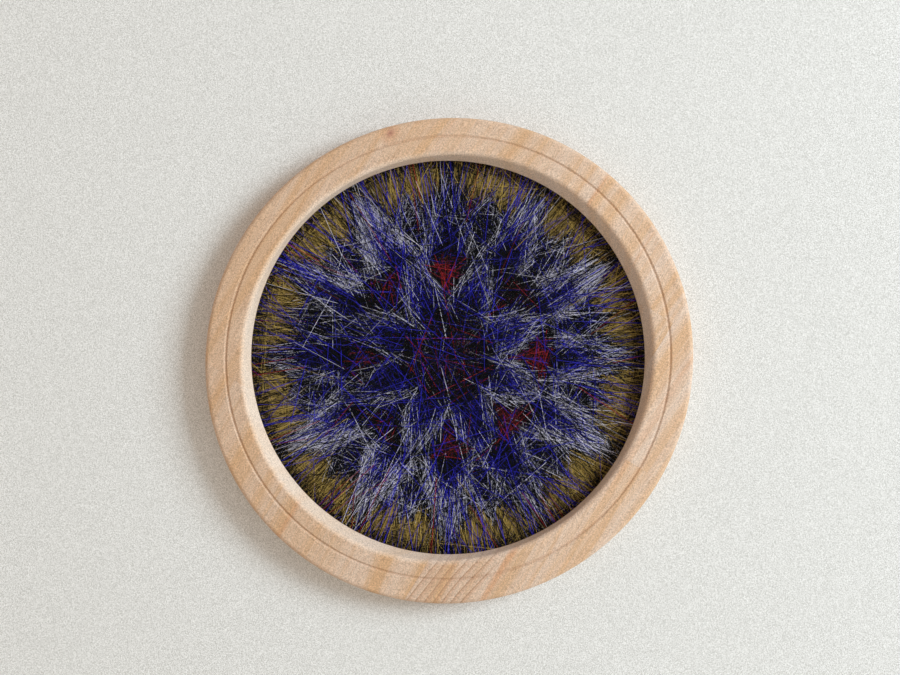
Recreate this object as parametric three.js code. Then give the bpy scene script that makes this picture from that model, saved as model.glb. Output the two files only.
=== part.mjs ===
// String art in a round wooden frame.
//
// Millimetres, +Z up. The frame's turning axis is the Y axis: the picture side faces -Y and the back
// lies in the plane y = 0, with the origin at the middle of the backing board's back face. +X is to the
// right of someone who looks at the picture.
//
// The frame is one turned ring with a lip in front and a rebate behind. The wound threads and the board
// behind them are two discs that lie in the rebate, one behind the other.

import * as THREE from "three";

// ---- Driving dimensions ---------------------------------------------------------------------------

const FRAME_RADIUS = 150.8; // mean radius of the outer edge
const FRAME_DEPTH = 20; // from the crest of the face to the back
const SIGHT_RADIUS = 123; // the narrowest circle of the opening, where the picture begins
const REBATE_RADIUS = 131;

const WALL_DEPTH = 10.5; // from the crest to the sight edge
const WALL_LEAN = 16; // degrees; the opening's wall leans inwards
const LIP_LAND = 1; // the upright edge left at the sight circle
const FACE_FALL = 5; // degrees; the face falls away from the opening to the outer edge
const FACE_ROUND = 3; // rounding of the outer edge, front
const ARRIS_ROUND = 3; // rounding between the face and the opening's wall
const BACK_ROUND = 1.5;

const GROOVE_RADIUS = 137;
const GROOVE_WIDTH = 2;
const GROOVE_DEPTH = 0.8;
const GROOVE_FLOOR = 0.5;

// The face is shaped by hand: its lines are slightly oval, and the outer edge sits a little low, so
// the rim is wider below than above.
const OVAL_ANGLE = 38; // degrees from +X towards +Z
const OUTER_OVAL = 1.4; // the long radius is this much over the mean, and the short one as much under
const GROOVE_OVAL = 1.1;
const ARRIS_OVAL = 1.6;
const OUTER_DROP = 1.9;
const OUTER_SHIFT = 0.8;

const GAP = 0.3; // between pieces that lie on each other
const WEB_THICKNESS = 2.8; // at the rim
const WEB_CROWN = 0.8; // the crossings pile up towards the middle
const WEB_STEPS = 10;

const RING_SEGMENTS = 96;
const ARC_STEPS = 5;

const wallLean = THREE.MathUtils.degToRad(WALL_LEAN);
const faceFall = THREE.MathUtils.degToRad(FACE_FALL);
const wallRun = (WALL_DEPTH - ARRIS_ROUND * (1 - Math.sin(wallLean))) * Math.tan(wallLean);
const arrisRadius = SIGHT_RADIUS + wallRun + ARRIS_ROUND * Math.cos(wallLean); // centre of the rounding
const lipBack = WALL_DEPTH + LIP_LAND;
const discRadius = REBATE_RADIUS - GAP;

// ---- Materials ------------------------------------------------------------------------------------

const paleWood = new THREE.MeshStandardMaterial({ color: 0xd8b68f, roughness: 0.62, metalness: 0 });
const woundThread = new THREE.MeshStandardMaterial({ color: 0x3a3450, roughness: 0.75, metalness: 0 });
const blackBoard = new THREE.MeshStandardMaterial({ color: 0x141317, roughness: 0.85, metalness: 0 });

// ---- Profiles -------------------------------------------------------------------------------------

// A point of a turned profile: its radius, how deep it lies behind the face, and how far the hand
// shaping moves it.
function profilePoint(radius, depth, oval = 0, drop = 0, shift = 0) {
  return { radius, depth, oval, drop, shift };
}

// The rounding of a corner, from one tangent point to the other. Angles are in degrees, from +radius
// towards +depth.
function roundedCorner(centre, size, startAngle, endAngle) {
  const points = [];
  for (let step = 0; step <= ARC_STEPS; step += 1) {
    const angle = THREE.MathUtils.degToRad(startAngle + ((endAngle - startAngle) * step) / ARC_STEPS);
    const radius = centre.radius + size * Math.cos(angle);
    const depth = centre.depth + size * Math.sin(angle);
    points.push(profilePoint(radius, depth, centre.oval, centre.drop, centre.shift));
  }
  return points;
}

// How deep the sloping face lies at a radius. It touches the rounding of the arris.
function faceDepth(radius) {
  return ARRIS_ROUND - ARRIS_ROUND / Math.cos(faceFall) + (radius - arrisRadius) * Math.tan(faceFall);
}

// The rounded arris between the leaning wall of the opening and the face.
function arrisPoints() {
  const centre = profilePoint(arrisRadius, ARRIS_ROUND, ARRIS_OVAL);
  return roundedCorner(centre, ARRIS_ROUND, 180 + WALL_LEAN, 270 + FACE_FALL);
}

function groovePoints() {
  const half = GROOVE_WIDTH / 2;
  const floor = GROOVE_FLOOR / 2;
  const cut = faceDepth(GROOVE_RADIUS) + GROOVE_DEPTH;
  return [
    profilePoint(GROOVE_RADIUS - half, faceDepth(GROOVE_RADIUS - half), GROOVE_OVAL),
    profilePoint(GROOVE_RADIUS - floor, cut, GROOVE_OVAL),
    profilePoint(GROOVE_RADIUS + floor, cut, GROOVE_OVAL),
    profilePoint(GROOVE_RADIUS + half, faceDepth(GROOVE_RADIUS + half), GROOVE_OVAL),
  ];
}

// The outer edge, from its rounding at the face to its rounding at the back.
function outerPoints() {
  const faceCentre = profilePoint(
    FRAME_RADIUS - FACE_ROUND,
    faceDepth(FRAME_RADIUS - FACE_ROUND) + FACE_ROUND / Math.cos(faceFall),
    OUTER_OVAL,
    OUTER_DROP,
    OUTER_SHIFT,
  );
  const backDepth = FRAME_DEPTH - BACK_ROUND;
  const backCentre = profilePoint(FRAME_RADIUS - BACK_ROUND, backDepth, OUTER_OVAL, OUTER_DROP, OUTER_SHIFT);
  return [
    ...roundedCorner(faceCentre, FACE_ROUND, FACE_FALL - 90, 0),
    ...roundedCorner(backCentre, BACK_ROUND, 0, 90),
  ];
}

function frameProfile() {
  const sightEdge = profilePoint(SIGHT_RADIUS, WALL_DEPTH);
  return [
    sightEdge,
    ...arrisPoints(),
    ...groovePoints(),
    ...outerPoints(),
    profilePoint(REBATE_RADIUS, FRAME_DEPTH),
    profilePoint(REBATE_RADIUS, lipBack),
    profilePoint(SIGHT_RADIUS, lipBack),
    sightEdge,
  ];
}

// The wound threads: flat behind and under the lip, and crowned where they show.
function webProfile() {
  const front = lipBack + GAP;
  const points = [];
  for (let step = 0; step <= WEB_STEPS; step += 1) {
    const share = step / WEB_STEPS;
    points.push(profilePoint(SIGHT_RADIUS * share, front - WEB_CROWN * (1 - share * share)));
  }
  points.push(profilePoint(discRadius, front));
  points.push(profilePoint(discRadius, front + WEB_THICKNESS));
  points.push(profilePoint(0, front + WEB_THICKNESS));
  return points;
}

function boardProfile() {
  const front = lipBack + WEB_THICKNESS + 2 * GAP;
  return [
    profilePoint(0, front),
    profilePoint(discRadius, front),
    profilePoint(discRadius, FRAME_DEPTH),
    profilePoint(0, FRAME_DEPTH),
  ];
}

// ---- Turned pieces --------------------------------------------------------------------------------

// Turns a profile about the Y axis, then moves each of its lines by its own hand shaping.
function turned(name, profile, material) {
  const points = profile.map((point) => new THREE.Vector2(point.radius, point.depth - FRAME_DEPTH));
  const geometry = new THREE.LatheGeometry(points, RING_SEGMENTS);
  const position = geometry.getAttribute("position");
  const ovalAngle = THREE.MathUtils.degToRad(OVAL_ANGLE);
  for (let index = 0; index < position.count; index += 1) {
    const line = profile[index % profile.length];
    const angle = Math.atan2(position.getZ(index), position.getX(index));
    const radius = line.radius + line.oval * Math.cos(2 * (angle - ovalAngle));
    position.setX(index, radius * Math.cos(angle) + line.shift);
    position.setZ(index, radius * Math.sin(angle) - line.drop);
  }
  geometry.computeVertexNormals();
  const mesh = new THREE.Mesh(geometry, material);
  mesh.name = name;
  return mesh;
}

// ---- The object -----------------------------------------------------------------------------------

const group = new THREE.Group();
group.name = "string_art_in_round_frame";
group.add(turned("frame_ring", frameProfile(), paleWood));
group.add(turned("string_web", webProfile(), woundThread));
group.add(turned("backing_board", boardProfile(), blackBoard));

export default group;
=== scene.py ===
"""String art in a round wooden frame: a turned ring, threads laid across the opening, and a black board.

The ring's axis is Y and the picture faces -Y. X runs to the right of someone who looks at the picture,
and Z is up. All sizes are in metres.
"""

import logging
import math
from dataclasses import dataclass, field, replace
from enum import Enum

import bmesh
import bpy
import numpy as np
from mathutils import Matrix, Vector


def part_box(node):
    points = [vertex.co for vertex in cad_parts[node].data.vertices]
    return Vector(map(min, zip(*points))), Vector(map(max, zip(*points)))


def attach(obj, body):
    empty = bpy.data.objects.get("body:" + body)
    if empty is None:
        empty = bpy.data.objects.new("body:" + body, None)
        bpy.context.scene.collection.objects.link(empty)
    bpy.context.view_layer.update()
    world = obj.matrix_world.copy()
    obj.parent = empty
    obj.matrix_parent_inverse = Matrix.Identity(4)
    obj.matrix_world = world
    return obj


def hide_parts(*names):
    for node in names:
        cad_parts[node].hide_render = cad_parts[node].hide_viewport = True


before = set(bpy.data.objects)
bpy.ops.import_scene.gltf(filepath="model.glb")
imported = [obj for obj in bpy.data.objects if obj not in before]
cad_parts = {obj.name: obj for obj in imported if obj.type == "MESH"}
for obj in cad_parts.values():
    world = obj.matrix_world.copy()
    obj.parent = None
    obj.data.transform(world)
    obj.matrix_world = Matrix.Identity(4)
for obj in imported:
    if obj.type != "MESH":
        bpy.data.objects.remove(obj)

LOG = logging.getLogger("string_art")
MM = 0.001
BODY = "root"

Socket = bpy.types.NodeSocket
Sockets = bpy.types.NodeOutputs
Array = np.ndarray


# ---- Small helpers -----------------------------------------------------------------------------------


def linear(red: float, green: float, blue: float) -> tuple[float, float, float, float]:
    """Turns a display colour into the scene's linear one.

    Args:
        red: The red share, 0 to 255.
        green: The green share, 0 to 255.
        blue: The blue share, 0 to 255.

    Returns:
        The linear colour, with an alpha of 1.
    """
    shares = [value / 255 for value in (red, green, blue)]
    curve = [s / 12.92 if s <= 0.04045 else ((s + 0.055) / 1.055) ** 2.4 for s in shares]
    return (curve[0], curve[1], curve[2], 1.0)


def smooth(low: float, high: float, value: Array) -> Array:
    """Rises smoothly from 0 to 1 as value goes from low to high, or falls where high is under low.

    Args:
        low: Where the result is 0.
        high: Where the result is 1.
        value: The numbers to look up.

    Returns:
        The shares, 0 to 1.
    """
    share = np.clip((value - low) / (high - low), 0, 1)
    return share * share * (3 - 2 * share)


def blend(first: Array, second: Array, share: Array) -> Array:
    """Goes from the first colours to the second by share.

    Args:
        first: Colours, with the three channels last.
        second: Colours of the same kind.
        share: How much of the second, without the channels.

    Returns:
        The blended colours.
    """
    return first + (second - first) * share[..., None]


# ---- Shader building ---------------------------------------------------------------------------------


class Shader:
    """Adds nodes to one tree by short calls."""

    def __init__(self, tree: bpy.types.NodeTree) -> None:
        """Works in the given tree."""
        self.tree = tree

    def add(self, kind: str, inputs: dict | None = None, **settings: object) -> bpy.types.Node:
        """Adds one node.

        Args:
            kind: The node's type, without its leading ShaderNode.
            inputs: A value or a socket for each named or numbered input.
            **settings: The node's own properties.

        Returns:
            The new node.
        """
        node = self.tree.nodes.new("ShaderNode" + kind)
        for name, value in settings.items():
            setattr(node, name, value)
        for key, value in (inputs or {}).items():
            if isinstance(value, Socket):
                self.tree.links.new(value, node.inputs[key])
            else:
                node.inputs[key].default_value = value
        return node

    def math(self, operation: str, first: object, second: object = 0.0) -> Socket:
        """Adds a Math node and gives its result."""
        return self.add("Math", {0: first, 1: second}, operation=operation).outputs[0]

    def times(self, first: object, *others: object) -> Socket:
        """Multiplies values, one after another."""
        for other in others:
            first = self.math("MULTIPLY", first, other)
        return first

    def plus(self, first: object, second: object) -> Socket:
        """Adds two values."""
        return self.math("ADD", first, second)

    def minus(self, first: object, second: object) -> Socket:
        """Takes the second value from the first."""
        return self.math("SUBTRACT", first, second)

    def ranged(
        self, value: object, low: float, high: float, start: float = 0.0, end: float = 1.0,
    ) -> Socket:
        """Goes straight from low, where the value is start, to high, where it is end."""
        inputs = {"Value": value, "From Min": start, "From Max": end, "To Min": low, "To Max": high}
        return self.add("MapRange", inputs).outputs["Result"]

    def parts(self, vector: object) -> Sockets:
        """Splits coordinates into X, Y and Z."""
        return self.add("SeparateXYZ", {0: vector}).outputs

    def joined(self, **parts: object) -> Socket:
        """Makes coordinates from the given ones of X, Y and Z."""
        return self.add("CombineXYZ", parts).outputs[0]

    def step(self, value: object, low: float, high: float) -> Socket:
        """Rises smoothly from 0 at low to 1 at high."""
        if low > high:
            return self.minus(1.0, self.step(value, high, low))
        ranged = {"Value": value, "From Min": low, "From Max": high}
        return self.add("MapRange", ranged, interpolation_type="SMOOTHSTEP").outputs["Result"]

    def noise(self, vector: object, scale: float, detail: float = 2.0, **more: float) -> Socket:
        """Adds a Noise Texture and gives its value."""
        inputs = {"Vector": vector, "Scale": scale, "Detail": detail}
        inputs.update({name.title(): value for name, value in more.items()})
        return self.add("TexNoise", inputs).outputs["Fac"]

    def mapped(self, vector: object, **settings: tuple) -> Socket:
        """Moves, turns or scales coordinates by a Mapping node."""
        inputs = {"Vector": vector} | {name.title(): value for name, value in settings.items()}
        return self.add("Mapping", inputs).outputs["Vector"]

    def mix(self, share: object, first: object, second: object, way: str = "MIX") -> Socket:
        """Mixes two colours and gives the result."""
        node = self.add("Mix", {"Factor": share}, data_type="RGBA", blend_type=way)
        for socket, value in ((node.inputs[6], first), (node.inputs[7], second)):
            if isinstance(value, Socket):
                self.tree.links.new(value, socket)
            else:
                socket.default_value = value
        return node.outputs[2]

    def dimmed(self, colour: object, share: Socket) -> Socket:
        """Multiplies a colour by one value."""
        grey = self.add("CombineColor", {channel: share for channel in range(3)}).outputs[0]
        return self.mix(1.0, colour, grey, "MULTIPLY")

    def bump(self, height: object, strength: float, distance: float) -> Socket:
        """Adds a Bump node and gives its normal."""
        inputs = {"Height": height, "Strength": strength, "Distance": distance}
        return self.add("Bump", inputs).outputs["Normal"]

    def wire(self, surface: bpy.types.Node, **values: Socket) -> None:
        """Links each value to the surface's input of that name, with an underscore for each space."""
        for name, value in values.items():
            self.tree.links.new(value, surface.inputs[name.replace("_", " ")])


class Group:
    """A shader node group with named inputs and outputs, built once and placed in many materials."""

    def __init__(self, name: str, inputs: dict[str, object], outputs: dict[str, str]) -> None:
        """Makes the empty group.

        Args:
            name: The group's name.
            inputs: Each input's default, a number, or None for a vector.
            outputs: Each output's kind, such as Float or Color.
        """
        self.tree = bpy.data.node_groups.new(name, "ShaderNodeTree")
        for label, default in inputs.items():
            kind = "NodeSocketVector" if default is None else "NodeSocketFloat"
            socket = self.tree.interface.new_socket(name=label, in_out="INPUT", socket_type=kind)
            if default is not None:
                socket.default_value = default
        for label, kind in outputs.items():
            self.tree.interface.new_socket(name=label, in_out="OUTPUT", socket_type="NodeSocket" + kind)
        self.given = self.tree.nodes.new("NodeGroupInput").outputs
        self.result = self.tree.nodes.new("NodeGroupOutput").inputs
        self.shader = Shader(self.tree)

    def give(self, **results: Socket) -> None:
        """Links each result to the output of that name."""
        for name, socket in results.items():
            self.tree.links.new(socket, self.result[name.replace("_", " ").title()])

    def place(self, shader: Shader, inputs: dict) -> Sockets:
        """Places the group in a material and gives its outputs."""
        node = shader.tree.nodes.new("ShaderNodeGroup")
        node.node_tree = self.tree
        for key, value in inputs.items():
            if isinstance(value, Socket):
                shader.tree.links.new(value, node.inputs[key])
            else:
                node.inputs[key].default_value = value
        return node.outputs


def staved_board_group() -> Group:
    """Builds the group for a board glued from staves that lie side by side and butt end to end.

    Returns:
        A group that takes a vector of along, depth and across in metres. It gives the same vector with
        every stave moved to its own wood, each stave's tone, and masks for the glue lines.
    """
    group = Group(
        "staved_board",
        {"Vector": None, "Width": 0.05, "Length": 0.3, "First Joint": 0.0, "First End": 0.0, "Stagger": 0.1},
        {"Wood": "Vector", "Tone": "Float", "Glue": "Float"},
    )
    shader, given = group.shader, group.given
    split = shader.parts(given["Vector"])
    across = shader.math("DIVIDE", shader.minus(split["Z"], given["First Joint"]), given["Width"])
    row = shader.math("FLOOR", across)
    first = shader.plus(given["First End"], shader.times(row, given["Stagger"]))
    along = shader.math("DIVIDE", shader.minus(split["X"], first), given["Length"])
    place = shader.math("FLOOR", along)
    cell = shader.joined(X=row, Y=place)
    own = shader.add("TexWhiteNoise", {"Vector": cell}, noise_dimensions="3D").outputs
    moved = shader.add("VectorMath", {0: own["Color"], "Scale": 3.0}, operation="SCALE").outputs[0]
    wood = shader.add("VectorMath", {0: given["Vector"], 1: moved}, operation="ADD").outputs[0]
    side = shader.math("PINGPONG", across, 0.5)
    side = shader.step(shader.times(side, given["Width"]), 0.3 * MM, 0.05 * MM)
    end = shader.times(shader.math("PINGPONG", along, 0.5), given["Length"])
    end = shader.step(end, 0.25 * MM, 0.05 * MM)
    group.give(wood=wood, tone=own["Value"], glue=shader.math("MAXIMUM", side, end))
    return group


def grain_group() -> Group:
    """Builds the group for wood grain.

    Returns:
        A group that takes a vector of along, depth and across in metres. It gives broad streaks, growth
        lines, fine fibres and the short dark pores, each 0 to 1.
    """
    group = Group(
        "grain",
        {"Vector": None, "Line Spacing": 0.005},
        {"Streaks": "Float", "Lines": "Float", "Fibres": "Float", "Pores": "Float", "Clouds": "Float"},
    )
    shader, given = group.shader, group.given
    sway = shader.noise(shader.mapped(given["Vector"], scale=(9.0, 20.0, 20.0)), 1.0, 2.0)
    sway = shader.times(shader.minus(sway, 0.5), 14 * MM)
    split = shader.parts(given["Vector"])
    lean = shader.plus(split["Z"], shader.times(split["Y"], 0.7))
    ring = shader.plus(lean, sway)
    streak = shader.joined(X=shader.times(split["X"], 2.0), Z=shader.times(ring, 90.0))
    streaks = shader.noise(streak, 1.0, 3.0, roughness=0.55)
    turn = shader.math("DIVIDE", ring, given["Line Spacing"])
    uneven = shader.joined(X=shader.times(split["X"], 6.0), Z=shader.times(turn, 0.35))
    turn = shader.plus(turn, shader.times(shader.noise(uneven, 1.0, 1.0), 1.6))
    lines = shader.math("POWER", shader.math("FRACT", turn), 5.0)
    fibres = shader.mapped(given["Vector"], scale=(70.0, 1500.0, 1500.0))
    fibres = shader.noise(fibres, 1.0, 3.0, roughness=0.6)
    pores = shader.noise(shader.mapped(given["Vector"], scale=(260.0, 2600.0, 2600.0)), 1.0, 1.0)
    clouds = shader.noise(shader.mapped(given["Vector"], scale=(14.0, 45.0, 45.0)), 1.0, 2.0)
    pores = shader.step(pores, 0.66, 0.74)
    group.give(streaks=streaks, lines=lines, fibres=fibres, pores=pores, clouds=clouds)
    return group


def mottle_group() -> Group:
    """Builds the group for the fine speckle of a painted or sanded surface.

    Returns:
        A group that takes object coordinates and gives a fine and a broad variation, each 0 to 1.
    """
    group = Group("mottle", {"Vector": None, "Speck": 1.0 * MM}, {"Fine": "Float", "Broad": "Float"})
    shader, given = group.shader, group.given
    shrunk = shader.add("VectorMath", {0: given["Vector"], 1: given["Speck"]}, operation="DIVIDE").outputs[0]
    fine = shader.noise(shrunk, 1.0, 3.0, roughness=0.6)
    broad = shader.noise(given["Vector"], 6.0, 2.0)
    group.give(fine=fine, broad=broad)
    return group


def twisted_thread_group() -> Group:
    """Builds the group for a two-ply thread that wears its twist round and along its own UV map.

    Returns:
        A group that takes a UV whose U holds one band for each tone, round the thread inside a band, and
        whose V runs along it. It gives the band's tone, the height of the plies and slow changes of dye.
    """
    group = Group(
        "twisted_thread",
        {"Vector": None, "Tones": 16.0, "Longest": 0.1, "Pitch": 0.9 * MM},
        {"Tone": "Float", "Ply": "Float", "Dye": "Float"},
    )
    shader, given = group.shader, group.given
    split = shader.parts(given["Vector"])
    band = shader.times(split["X"], given["Tones"])
    number = shader.math("FLOOR", band)
    tone = shader.add("TexWhiteNoise", {"W": number}, noise_dimensions="1D").outputs["Value"]
    along = shader.times(split["Y"], given["Longest"])
    turn = shader.plus(shader.math("FRACT", band), shader.math("DIVIDE", along, given["Pitch"]))
    wave = shader.math("ABSOLUTE", shader.math("SINE", shader.times(turn, math.pi)))
    place = shader.joined(X=shader.times(along, 160.0), Y=shader.times(number, 7.3))
    group.give(tone=tone, ply=wave, dye=shader.noise(place, 1.0, 2.0))
    return group


@dataclass
class Effects:
    """The shader groups that the finishes share."""

    staves: Group = field(default_factory=staved_board_group)
    grain: Group = field(default_factory=grain_group)
    mottle: Group = field(default_factory=mottle_group)
    twist: Group = field(default_factory=twisted_thread_group)


def new_material(
    name: str, roughness: float, **sockets: object,
) -> tuple[bpy.types.Material, Shader, bpy.types.Node]:
    """Makes a material with a Principled BSDF.

    Args:
        name: The material's name.
        roughness: Its roughness where nothing else is linked.
        **sockets: Further uniform values, with an underscore for each space.

    Returns:
        The material, a Shader on its tree, and the BSDF node.
    """
    material = bpy.data.materials.new(name)
    material.use_nodes = True
    surface = material.node_tree.nodes["Principled BSDF"]
    surface.inputs["Roughness"].default_value = roughness
    for key, value in sockets.items():
        surface.inputs[key.replace("_", " ")].default_value = value
    return material, Shader(material.node_tree), surface


# ---- Finishes ----------------------------------------------------------------------------------------


@dataclass(frozen=True)
class PaleWood:
    """Oiled pale wood, cut from a board of glued staves whose grain runs up to the right."""

    grain_angle: float = math.radians(58)
    stave_width: float = 50.2 * MM
    stave_length: float = 0.52
    first_joint: float = -56.3 * MM
    first_end: float = 178.4 * MM
    stagger: float = 86.7 * MM
    pale: tuple = (223, 200, 181)
    honey: tuple = (214, 174, 134)
    line: tuple = (188, 142, 110)
    pore: tuple = (150, 110, 84)
    amber: tuple = (205, 148, 104)
    # The opening wall's pale colour is partly the wood's own sanding and partly painted light, laid on more
    # at the left, where the wall faces the light.
    sanded_and_lit_pale: tuple = (242, 226, 210)
    lit_side_paling: tuple = (0.38, 0.58)
    left_top_honey: float = 0.95
    glue_dark: float = 0.14
    groove_shade_strength: float = 0.15
    speck_size: float = 0.75 * MM
    speckle: tuple = (0.66, 1.34)
    streaks: tuple = (
        (-23 * MM, 2.0 * MM, 0.55, 1), (31 * MM, 2.4 * MM, 0.4, -1), (-97 * MM, 3.4 * MM, 0.8, -1),
        (74 * MM, 2.0 * MM, 0.35, 1), (-66 * MM, 2.0 * MM, 0.3, 1), (-128 * MM, 3.0 * MM, 0.4, 1),
    )
    knot: tuple = (98.8 * MM, 103.6 * MM)
    knot_radius: float = 2.8 * MM

    def make(self, effects: Effects) -> bpy.types.Material:
        """Builds the material.

        Args:
            effects: The shared shader groups.

        Returns:
            The finished material.
        """
        material, shader, surface = new_material("pale_wood", 0.5, Specular_IOR_Level=0.3)
        place = shader.add("TexCoord").outputs["Object"]
        board = shader.mapped(place, rotation=(0.0, self.grain_angle, 0.0))
        staves = effects.staves.place(shader, {
            "Vector": board, "Width": self.stave_width, "Length": self.stave_length,
            "First Joint": self.first_joint, "First End": self.first_end, "Stagger": self.stagger,
        })
        grain = effects.grain.place(shader, {"Vector": staves["Wood"], "Line Spacing": 4.7 * MM})
        split = shader.parts(place)
        side = shader.minus(split["X"], shader.times(split["Z"], 0.35))
        colour = self.ground(shader, grain, staves, side)
        colour = self.marks(shader, colour, board, grain)
        colour = shader.mix(shader.times(staves["Glue"], self.glue_dark), colour, linear(*self.pore))
        # Painted shade in the groove: darkened towards the pore colour, most at its floor.
        groove_shade = shader.add("Attribute", attribute_name="groove_shade").outputs["Fac"]
        colour = shader.mix(shader.times(groove_shade, self.groove_shade_strength), colour, linear(*self.pore))
        # Painted light on the opening wall: a paler colour, partly real sanding, laid on more at the left
        # where the wall faces the light and less at the shaded right.
        bare_and_lit = shader.add("Attribute", attribute_name="bare_and_lit").outputs["Fac"]
        lit_side_paling = shader.ranged(split["X"], *self.lit_side_paling, 0.12, -0.12)
        colour = shader.mix(shader.times(bare_and_lit, lit_side_paling), colour, linear(*self.sanded_and_lit_pale))
        speck = effects.mottle.place(shader, {"Vector": place, "Speck": self.speck_size})
        colour = shader.dimmed(colour, shader.ranged(speck["Fine"], *self.speckle, 0.3, 0.7))
        rough = shader.ranged(grain["Fibres"], 0.45, 0.65)
        height = shader.minus(grain["Fibres"], shader.times(grain["Pores"], 0.8))
        relief = shader.bump(height, 0.25, 0.12 * MM)
        shader.wire(surface, Base_Color=colour, Roughness=rough, Normal=relief)
        return material

    def ground(
        self, shader: Shader, grain: Sockets, staves: Sockets, side: Socket,
    ) -> Socket:
        """Lays the colours that run through the whole board.

        Args:
            shader: The material's shader.
            grain: The grain group's outputs.
            staves: The board group's outputs.
            side: How far to the right and down each place lies. The honey clouds are stronger towards the
                left and the top.

        Returns:
            The colour so far.
        """
        streaked = shader.step(grain["Streaks"], 0.38, 0.68)
        colour = shader.mix(streaked, linear(*self.pale), linear(*self.honey))
        clouds = shader.times(grain["Clouds"], shader.ranged(side, 0.0, self.left_top_honey, 0.15, -0.15))
        colour = shader.mix(clouds, colour, linear(*self.honey))
        lines = shader.times(grain["Lines"], shader.step(staves["Tone"], 0.2, 1.0))
        colour = shader.mix(shader.times(lines, 0.35), colour, linear(*self.line))
        fibres = shader.step(grain["Fibres"], 0.35, 0.7)
        colour = shader.mix(shader.times(fibres, 0.3), colour, linear(*self.line))
        colour = shader.mix(shader.times(grain["Pores"], 0.5), colour, linear(*self.pore))
        return shader.dimmed(colour, shader.ranged(staves["Tone"], 0.95, 1.04))

    def marks(
        self, shader: Shader, colour: Socket, board: Socket, grain: Sockets,
    ) -> Socket:
        """Adds what is in one place only: amber streaks, one striped stave and a small knot.

        Args:
            shader: The material's shader.
            colour: The colour so far.
            board: The board's coordinates.
            grain: The grain group's outputs.

        Returns:
            The colour with the marks.
        """
        split = shader.parts(board)
        wander = shader.times(shader.minus(grain["Clouds"], 0.5), 5 * MM)
        across = shader.plus(split["Z"], wander)
        for middle, width, strength, end in self.streaks:
            away = shader.math("ABSOLUTE", shader.minus(across, middle))
            share = shader.times(shader.step(away, width, 0.2 * width), strength)
            share = shader.times(share, shader.step(split["X"], -40 * end * MM, 20 * end * MM))
            uneven = shader.step(grain["Streaks"], 0.3, 0.6)
            colour = shader.mix(shader.times(share, uneven), colour, linear(*self.amber))
        colour = self.stripes(shader, colour, split, across)
        spot = shader.joined(X=self.knot[0], Y=-0.02, Z=self.knot[1])
        near = shader.add("VectorMath", {0: board, 1: spot}, operation="SUBTRACT").outputs[0]
        near = shader.mapped(near, scale=(0.75, 0.25, 1.0))
        away = shader.add("VectorMath", {0: near}, operation="LENGTH").outputs["Value"]
        halo = shader.times(shader.step(away, 2.6 * self.knot_radius, self.knot_radius), 0.4)
        colour = shader.mix(halo, colour, linear(*self.amber))
        heart = shader.step(away, 1.2 * self.knot_radius, 0.3 * self.knot_radius)
        colour = shader.mix(shader.times(heart, 0.6), colour, linear(180, 124, 104))
        middle = shader.step(away, 0.5 * self.knot_radius, 0.1 * self.knot_radius)
        return shader.mix(shader.times(middle, 0.5), colour, linear(150, 100, 84))

    def stripes(
        self, shader: Shader, colour: Socket, split: Sockets, across: Socket,
    ) -> Socket:
        """Draws the growth rings of the one stave that was cut across them.

        Args:
            shader: The material's shader.
            colour: The colour so far.
            split: The board's coordinates, one by one.
            across: How far across the board each place lies, with a little wander.

        Returns:
            The colour with the stripes.
        """
        inside = shader.math("LESS_THAN", split["Z"], self.first_joint)
        inside = shader.times(inside, shader.step(split["Z"], -94 * MM, -90 * MM))
        inside = shader.times(inside, shader.step(split["X"], 20 * MM, -60 * MM))
        bend = shader.math("POWER", shader.plus(split["X"], 0.16), 2.0)
        bowed = shader.plus(across, shader.times(bend, 1.6))
        turn = shader.math("FRACT", shader.math("DIVIDE", bowed, -4.7 * MM))
        late = shader.math("POWER", shader.minus(1.0, turn), 1.6)
        colour = shader.mix(shader.times(late, inside, 0.62), colour, linear(*self.line))
        edge = shader.times(shader.step(turn, 0.2, 0.06), inside, 0.4)
        return shader.mix(edge, colour, linear(*self.pore))


@dataclass(frozen=True)
class Tint:
    """A dye as it looks in the finished picture and as it is on the thread, in display colours."""

    seen: tuple
    thread: tuple
    sheen: float = 0.1


class Dye(Enum):
    """The thread colours."""

    BLACK = Tint((10, 9, 14), (4, 4, 7), 0.0)
    BLUE = Tint((32, 28, 140), (30, 25, 180))
    WHITE = Tint((165, 163, 181), (208, 206, 222))
    RED = Tint((124, 25, 32), (162, 22, 30))
    OCHRE = Tint((134, 112, 60), (186, 158, 82))


@dataclass(frozen=True)
class ThreadFinish:
    """Dyed two-ply sewing thread, with painted shade between its plies."""

    dye: Dye
    longest: float
    tones: int
    tone_range: tuple = (0.38, 1.55)
    dye_range: tuple = (0.8, 1.2)
    ply_shade_range: tuple = (0.6, 1.08)

    def make(self, effects: Effects) -> bpy.types.Material:
        """Builds the material.

        Args:
            effects: The shared shader groups.

        Returns:
            The finished material.
        """
        tint = self.dye.value
        material, shader, surface = new_material(
            "thread_" + self.dye.name.lower(), 0.65,
            Sheen_Weight=tint.sheen, Sheen_Roughness=0.4, Specular_IOR_Level=0.2,
        )
        wound = shader.add("UVMap", uv_map="thread").outputs["UV"]
        sizes = {"Vector": wound, "Tones": float(self.tones), "Longest": self.longest}
        thread = effects.twist.place(shader, sizes)
        # Each thread's random tone and slow dye changes, with painted shade between the plies of the twist.
        light = shader.times(
            shader.ranged(thread["Tone"], *self.tone_range),
            shader.ranged(thread["Dye"], *self.dye_range),
            shader.ranged(thread["Ply"], *self.ply_shade_range),
        )
        relief = shader.bump(thread["Ply"], 0.4, 0.05 * MM)
        shader.wire(surface, Base_Color=shader.dimmed(linear(*tint.thread), light), Normal=relief)
        return material


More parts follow.
